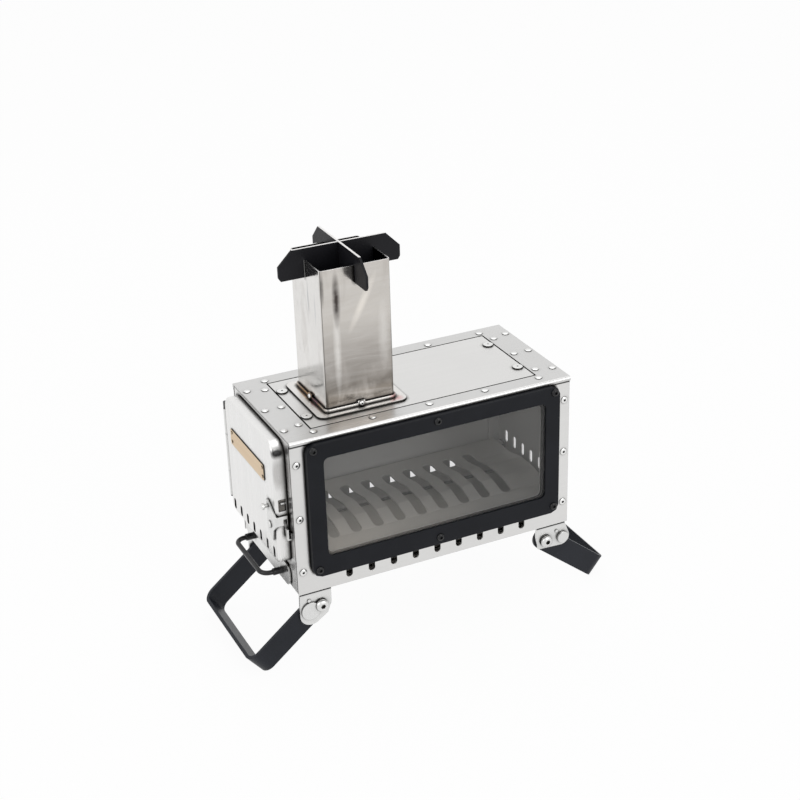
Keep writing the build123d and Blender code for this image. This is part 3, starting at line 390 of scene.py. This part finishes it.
def grate_steel():
    """Grate: dulled by heat, with painted light that makes it paler towards its left end."""
    material, shader, shade = steel(
        "grate_steel", (0.66, 0.645, 0.615), "x", rough=(0.40, 0.52), clouds=0.06, lines=0.03
    )
    shader.inputs["Metallic"].default_value = 0.4
    lightest_x = -0.105
    plain_from = -0.030
    # painted light: the grate is made paler towards its left end
    painted_light_left = remap(material, along(material, "x"), lightest_x, plain_from, 1.0, 0.0)
    put(material, shader.inputs["Base Color"], mix(material, painted_light_left, shade, (0.86, 0.82, 0.76)))
    return material


# Materials of the fittings
def fitting_steel():
    """Brackets, hinge, latch and bolts: smooth, with a painted shadow where the brackets meet the body and
    strong painted shade in the corners.
    """
    material, shader, shade = steel(
        "fitting_steel", (0.76, 0.76, 0.75), "z", rough=(0.22, 0.32), clouds=0.06
    )
    body_shadow_depth = 0.0028
    body_shadow_bottom = body_bottom_z - body_shadow_depth
    # painted shadow: a dark band along the top of the brackets' upright faces, under the body
    body_shadow = between(material, along(material, "z"), body_shadow_bottom, body_bottom_z, soft=0.0003)
    upright = remap(material, unsigned(material, facing(material, "y")), 0.5, 0.7)
    # strong painted shade in the corners
    shade = painted_corner_shade(material, shade, reach=0.005, low=0.35, high=0.92)
    shade = mix(material, both(material, body_shadow, upright), shade, (0.03, 0.03, 0.03))
    put(material, shader.inputs["Base Color"], shade)
    return material


def rivet_metal(name, axis):
    """Smooth rivet metal for heads that face along an axis, with painted shade round their sloping rims."""
    material, shader, shade = steel(
        name, (0.80, 0.80, 0.79), "z", rough=(0.16, 0.26), clouds=0.02, lines=0.01, edge=0, relief=0.02
    )
    flat = unsigned(material, facing(material, axis))
    # painted shade: the sloping rim of each head is darkened
    shade = mix(material, remap(material, flat, 0.70, 0.84), (0.10, 0.098, 0.095), shade)
    put(material, shader.inputs["Base Color"], painted_corner_shade(material, shade, reach=0.002, low=0.6, high=0.97))
    return material


def dark_steel():
    """Blackened steel of the hinge pin and the hidden nuts."""
    material, _, _ = steel("dark_steel", (0.11, 0.11, 0.11), "z", rough=(0.28, 0.42), edge=0.0003)
    return material


def brass():
    """Bare name plate and its pins."""
    material, _, _ = steel(
        "brass", (0.72, 0.55, 0.36), "y", rough=(0.26, 0.40), clouds=0.06, lines=0.06, edge=0.0002
    )
    return material


# Materials of the door, the chimney and the cross
def door_steel():
    """Door: a painted dark reflection near the top of its front side with painted shading below it, near
    black inside.
    """
    material, shader, shade = steel(
        "door_steel", (0.83, 0.825, 0.815), "z", rough=(0.24, 0.34), clouds=0.03, lines=0.02
    )
    # painted reflection: a dark patch near the top of the front side, with paler painted shading below it
    painted_reflection_marks = [
        (body_point(-136, -53, 131.5), (0.0095, 0.006, 0.0065), 0.0, (0.03, 0.03, 0.03), 1.0),
        (body_point(-136, -53, 112), (0.010, 0.004, 0.018), 0.0, (0.45, 0.44, 0.43), 0.7),
    ]
    shade = marks(material, shade, painted_reflection_marks, wobble_scale=40, sharpness=0.5)
    low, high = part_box("door_pan")
    back = Vector((high.x, (low.y + high.y) / 2, (low.z + high.z) / 2))
    shade = mix(material, inward(material, back), shade, near_black)
    put(material, shader.inputs["Base Color"], painted_corner_shade(material, shade, reach=0.004))
    return material


# makes the chimney darker and browner towards its foot
def foot_browning(material, shade):
    """Browns the front and the rear of the chimney, most at its foot, and mottles it all round."""
    socket_floor = 0.003
    browned_height = 0.078
    foot = body_top_z + socket_floor
    browned = mix(
        material,
        remap(material, along(material, "z"), foot, foot + browned_height),
        (0.15, 0.128, 0.108),
        (0.80, 0.775, 0.745),
    )
    bands = noise(material, place(material, (14, 14, 75)), roughness=0.55, distortion=1.5)
    broad_side = remap(material, unsigned(material, facing(material, "y")), 0.4, 0.6)
    share = maths(material, "MULTIPLY", broad_side, remap(material, bands, 0.30, 0.60, 0.75, 1.0))
    tinted = mix(material, 1.0, shade, browned, mode="MULTIPLY")
    shade = mix(material, share, shade, tinted)
    mottle = noise(material, place(material, (45, 45, 16)), roughness=0.55, distortion=1.2)
    return mix(material, remap(material, mottle, 0.50, 0.72, 0.0, 0.5), shade, (0.46, 0.43, 0.40))


def inside_flue(material):
    """1 on the inner faces of the chimney's walls."""
    half_wall = 0.0006
    low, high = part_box("chimney_tube")
    return both(
        material,
        between(material, along(material, "x"), low.x + half_wall, high.x - half_wall, soft=0.0002),
        between(material, along(material, "y"), low.y + half_wall, high.y - half_wall, soft=0.0002),
    )


def tube_steel():
    """Chimney: browner towards its foot, painted reflections and highlights on its front and left, black
    inside, a painted highlight on its rim.
    """
    material, shader, shade = steel(
        "tube_steel", (0.76, 0.745, 0.725), "x", rough=(0.12, 0.24), clouds=0.05, lines=0.03, edge=0.0002
    )
    # painted reflections: dark smears, pale streaks and highlights on the front and the left
    painted_reflections = [
        (body_point(-70.5, -31, 200), (0.0040, 0.004, 0.044), 0.0, (0.90, 0.88, 0.85), 0.5),
        (body_point(-47, -31, 236), (0.0042, 0.004, 0.030), 0.48, (0.92, 0.87, 0.80), 0.55),
        (body_point(-29, -31, 205), (0.0060, 0.004, 0.034), 0.0, (0.86, 0.84, 0.81), 0.35),
        (body_point(-69.7, -31, 243), (0.0040, 0.004, 0.027), 0.0, (0.07, 0.06, 0.055), 1.0),
        (body_point(-81.5, -31, 254), (0.0020, 0.004, 0.018), 0.0, (0.16, 0.15, 0.14), 0.8),
        (body_point(-83, -4, 238), (0.004, 0.0018, 0.020), 0.0, (0.42, 0.43, 0.44), 0.7),
        (body_point(-83, -18, 232), (0.004, 0.0018, 0.018), 0.0, (0.50, 0.51, 0.52), 0.6),
    ]
    shade = marks(material, foot_browning(material, shade), painted_reflections, wobble_scale=110, sharpness=0.8)
    shade = mix(material, inside_flue(material), painted_corner_shade(material, shade), (0.010, 0.010, 0.010))
    # painted highlight: the upward-facing rim is set to a pale colour
    rim_highlight = remap(material, facing(material, "z"), 0.4, 0.6)
    put(material, shader.inputs["Base Color"], mix(material, rim_highlight, shade, bare_edge_and_highlight))
    return material


def flange_shadow_edge(material):
    """1 on the outer edges of the chimney's socket, where a shadow is painted."""
    edge_reach = 0.035
    edge_soft = 0.001
    low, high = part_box("chimney_tube")
    across = maths(material, "SUBTRACT", along(material, "x"), (low.x + high.x) / 2)
    deep = maths(material, "SUBTRACT", along(material, "y"), middle_y)
    reach = maths(material, "MAXIMUM", unsigned(material, across), unsigned(material, deep))
    outermost = remap(material, reach, edge_reach, edge_reach + edge_soft)
    upright = remap(material, facing(material, "z"), 0.4, 0.6, 1.0, 0.0)
    return both(material, outermost, upright)


def flange_steel():
    """Socket of the chimney: gold and purple from the heat along its left side, a painted shadow on its
    outer edges.
    """
    material, shader, shade = steel("flange_steel", (0.78, 0.765, 0.745), "x", clouds=0.04)
    tempered_places = [
        (body_point(-84, 2, 149), (0.0045, 0.036, 0.012), 0.0, (0.72, 0.44, 0.22), 0.95),
        (body_point(-84, -10, 149), (0.0045, 0.009, 0.012), 0.0, (0.34, 0.16, 0.24), 0.9),
        (body_point(-20, -33, 149), (0.007, 0.007, 0.012), 0.0, (0.62, 0.34, 0.34), 0.7),
    ]
    shade = painted_corner_shade(material, marks(material, shade, tempered_places, wobble_scale=60, sharpness=0.6))
    # painted shadow: the outer upright edges of the socket are darkened
    shade = mix(material, flange_shadow_edge(material), shade, (0.05, 0.048, 0.045))
    put(material, shader.inputs["Base Color"], shade)
    return material


def cross_coat():
    """Cross: coated faces, bare steel on the edges that look upwards."""
    material, shader, shade = coat(
        "cross_coat", (0.007, 0.007, 0.009), rough=0.44, edge=0.0002, gloss=0.18
    )
    bare = remap(material, facing(material, "z"), 0.88, 0.95)
    put(material, shader.inputs["Base Color"], mix(material, bare, shade, bare_edge_and_highlight))
    put(material, shader.inputs["Metallic"], bare)
    return material


# Materials of the window
def gasket_weave():
    """Woven cord that seals the glass."""
    material, shader = new_material("gasket")
    weave = noise(material, place(material), scale=900.0, detail=3.0, roughness=0.7)
    shade = mix(material, weave, (0.03, 0.03, 0.03), (0.10, 0.10, 0.10))
    put(material, shader.inputs["Base Color"], shade)
    put(material, shader.inputs["Normal"], bump(material, weave, strength=0.5, distance=0.0005))
    shader.inputs["Roughness"].default_value = 0.9
    return material


def smoked_glass():
    """Heat-proof glass with a faint grey haze painted on it as its reflection, and painted light low on its
    left.
    """
    material, shader = new_material("glass")
    haze = noise(material, place(material, (6, 6, 6)), detail=3.0)
    # painted reflection: a grey haze over the glass
    shade = mix(material, haze, (0.15, 0.15, 0.148), (0.18, 0.18, 0.177))
    # painted light: a pale patch low on the left of the glass
    painted_light_low_left = spot(material, body_point(-112, -68, 30), size=(0.17, 0.05, 0.050))
    shade = mix(material, remap(material, painted_light_low_left, 0.0, 0.9), shade, (0.66, 0.62, 0.56))
    put(material, shader.inputs["Base Color"], shade)
    put(material, shader.inputs["Alpha"], remap(material, haze, 0.2, 0.8, 0.16, 0.22))
    shader.inputs["Roughness"].default_value = 0.06
    shader.inputs["Specular IOR Level"].default_value = 0.6
    return material


# Which pieces have which material. All others are of the inner steel.
black_coat, _, _ = coat("black_coat", (0.0066, 0.0074, 0.0100), rough=0.46, gloss=0.16)
leg_coat, _, _ = coat("leg_coat", (0.0092, 0.0110, 0.0158), rough=0.42, gloss=0.25)
black_rod, _, _ = coat("black_rod", (0.005, 0.005, 0.006), rough=0.20, grit=0.03, gloss=0.4)
black_screw, _, _ = coat(
    "black_screw", (0.004, 0.004, 0.005), rough=0.20, grit=0.02, edge=0, gloss=0.35
)
brackets = [name for name in nodes if name.endswith("_bracket")]
finishes = [
    (top_steel(), ["top_frame"]),
    (cooktop_steel(), ["cooktop_plate"]),
    (grate_steel(), ["grate"]),
    (body_steel(), ["front_panel", "rear_panel"]),
    (end_black_behind_door(), ["left_end_frame"]),
    (end_steel(), ["right_end_panel"]),
    (door_steel(), ["door_pan"]),
    (tube_steel(), ["chimney_tube"]),
    (flange_steel(), ["chimney_flange"]),
    (cross_coat(), ["cross_plate_long", "cross_plate_deep"]),
    (black_coat, ["window_frame"]),
    (black_screw, ["window_screws"]),
    (black_rod, ["drawer_handle", "handle_sleeves"]),
    (leg_coat, ["left_leg", "right_leg"]),
    (brass(), ["name_plate", "name_plate_pins"]),
    (gasket_weave(), ["glass_gasket"]),
    (smoked_glass(), ["window_glass"]),
    (dark_steel(), ["hinge_pin", "window_nuts", "handle_nuts"]),
    (rivet_metal("upright_rivets", "z"), ["top_rivets", "bracket_rivets", "cooktop_studs"]),
    (rivet_metal("level_rivets", "y"), ["panel_rivets", "hinge_rivets"]),
    (fitting_steel(), brackets + [
        "collar_screws", "latch_pivot", "latch_knob", "latch_lever", "latch_catch", "door_locating_pin",
        "hinge_leaf_body", "hinge_leaf_door", "drawer_front", "left_lock_knobs", "right_lock_knobs",
        "pivot_bolts", "pivot_washers", "pivot_nuts", "stop_pins",
    ]),
]
material_of = {name: material for material, names in finishes for name in names}
plain_material = inner_steel()
for name, node in nodes.items():
    material = material_of.get(name, plain_material)
    if not node.material_slots:
        node.data.materials.append(material)
    for slot in node.material_slots:
        slot.material = material

# Broken-off mandrel ends in the hollow heads of the panel and hinge rivets, near black as painted shade in
# the hollows
end_radius = 0.00108
end_rise = 0.00040
head_top = 0.0011
hollow_depth = 0.0009
rivet_x = 124.8
rivet_heights = (21.5, 71.8, 122.1)
front_y = -63.5
rear_y = 63.5
leaf_rear_y = 64.7
end_places = [(side * rivet_x, front_y, height, -1) for side in (-1, 1) for height in rivet_heights]
end_places += [(rivet_x, rear_y, height, 1) for height in rivet_heights]
end_places += [(-rivet_x, rear_y, rivet_heights[0], 1)]
end_places += [(-rivet_x, leaf_rear_y, height, 1) for height in rivet_heights[1:]]
flatten = Matrix.Diagonal((end_radius, end_rise, end_radius, 1.0))
ends_mesh = bpy.data.meshes.new("shaded_mandrel_ends")
shape = bmesh.new()
for x, y, z, outwards in end_places:
    bottom = body_point(x, y, z) + Vector((0, outwards * (head_top - hollow_depth), 0))
    bmesh.ops.create_uvsphere(
        shape, u_segments=16, v_segments=8, radius=1.0, matrix=Matrix.Translation(bottom) @ flatten
    )
shape.to_mesh(ends_mesh)
shape.free()
# painted shade: the mandrel ends are near black
ends_mesh.materials.append(black_screw)
shaded_mandrel_ends = bpy.data.objects.new("shaded_mandrel_ends", ends_mesh)
bpy.context.scene.collection.objects.link(shaded_mandrel_ends)
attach(shaded_mandrel_ends, "stove")


# Floor, world and lamps
def seen_white(material):
    """1 for the rays of the camera, of glossy surfaces and of glass, and 0 for the light itself."""
    path = material.node_tree.nodes.new("ShaderNodeLightPath")
    seen = maths(material, "MAXIMUM", path.outputs["Is Camera Ray"], path.outputs["Is Glossy Ray"])
    return maths(material, "MAXIMUM", seen, path.outputs["Is Transmission Ray"])


def white_glow(material, kind, strength):
    """A shader node that gives off white light."""
    node = material.node_tree.nodes.new(kind)
    node.inputs["Color"].default_value = (1, 1, 1, 1)
    node.inputs["Strength"].default_value = strength
    return node


def finish_blend(material, share, first, second, output_kind):
    """Mixes two shaders by a share and sends them to the output."""
    tree = material.node_tree
    blend = tree.nodes.new("ShaderNodeMixShader")
    put(material, blend.inputs[0], share)
    put(material, blend.inputs[1], first.outputs[0])
    put(material, blend.inputs[2], second.outputs[0])
    output = tree.nodes.new(output_kind)
    put(material, output.inputs["Surface"], blend.outputs[0])


floor_half = 6.0
floor_glow = 0.95
floor_mesh = bpy.data.meshes.new("floor")
shape = bmesh.new()
bmesh.ops.create_grid(shape, x_segments=1, y_segments=1, size=floor_half)
shape.to_mesh(floor_mesh)
shape.free()
floor = bpy.data.objects.new("floor", floor_mesh)
bpy.context.scene.collection.objects.link(floor)
floor_material = bpy.data.materials.new("floor")
floor_material.use_nodes = True
floor_material.node_tree.nodes.clear()
diffuse = floor_material.node_tree.nodes.new("ShaderNodeBsdfDiffuse")
diffuse.inputs["Color"].default_value = (0.9, 0.9, 0.9, 1)
glow = white_glow(floor_material, "ShaderNodeEmission", 1.0)
glow_share = maths(floor_material, "MULTIPLY", seen_white(floor_material), floor_glow)
finish_blend(floor_material, glow_share, diffuse, glow, "ShaderNodeOutputMaterial")
floor_mesh.materials.append(floor_material)

ambient_strength = 0.6
world = bpy.data.worlds.new("studio")
bpy.context.scene.world = world
world.use_nodes = True
world.node_tree.nodes.clear()
ambient = white_glow(world, "ShaderNodeBackground", ambient_strength)
backdrop = white_glow(world, "ShaderNodeBackground", 1.0)
finish_blend(world, seen_white(world), ambient, backdrop, "ShaderNodeOutputWorld")


def softbox(name, position, size, power):
    """A square lamp that looks at the stove."""
    stove_middle = Vector((0, 0, 0.15))
    data = bpy.data.lights.new(name, "AREA")
    data.shape = "SQUARE"
    data.size = size
    data.energy = power
    lamp = bpy.data.objects.new(name, data)
    bpy.context.scene.collection.objects.link(lamp)
    lamp.location = position
    lamp.rotation_euler = (stove_middle - Vector(position)).to_track_quat("-Z", "Y").to_euler()


softbox("lamp_above", (0.2, 0.3, 2.2), size=1.8, power=10)
softbox("lamp_left", (-2.0, -0.6, 1.1), size=1.4, power=8)
softbox("lamp_front", (0.9, -2.2, 1.3), size=1.6, power=16)

scene = bpy.context.scene
scene.view_settings.view_transform = "Standard"
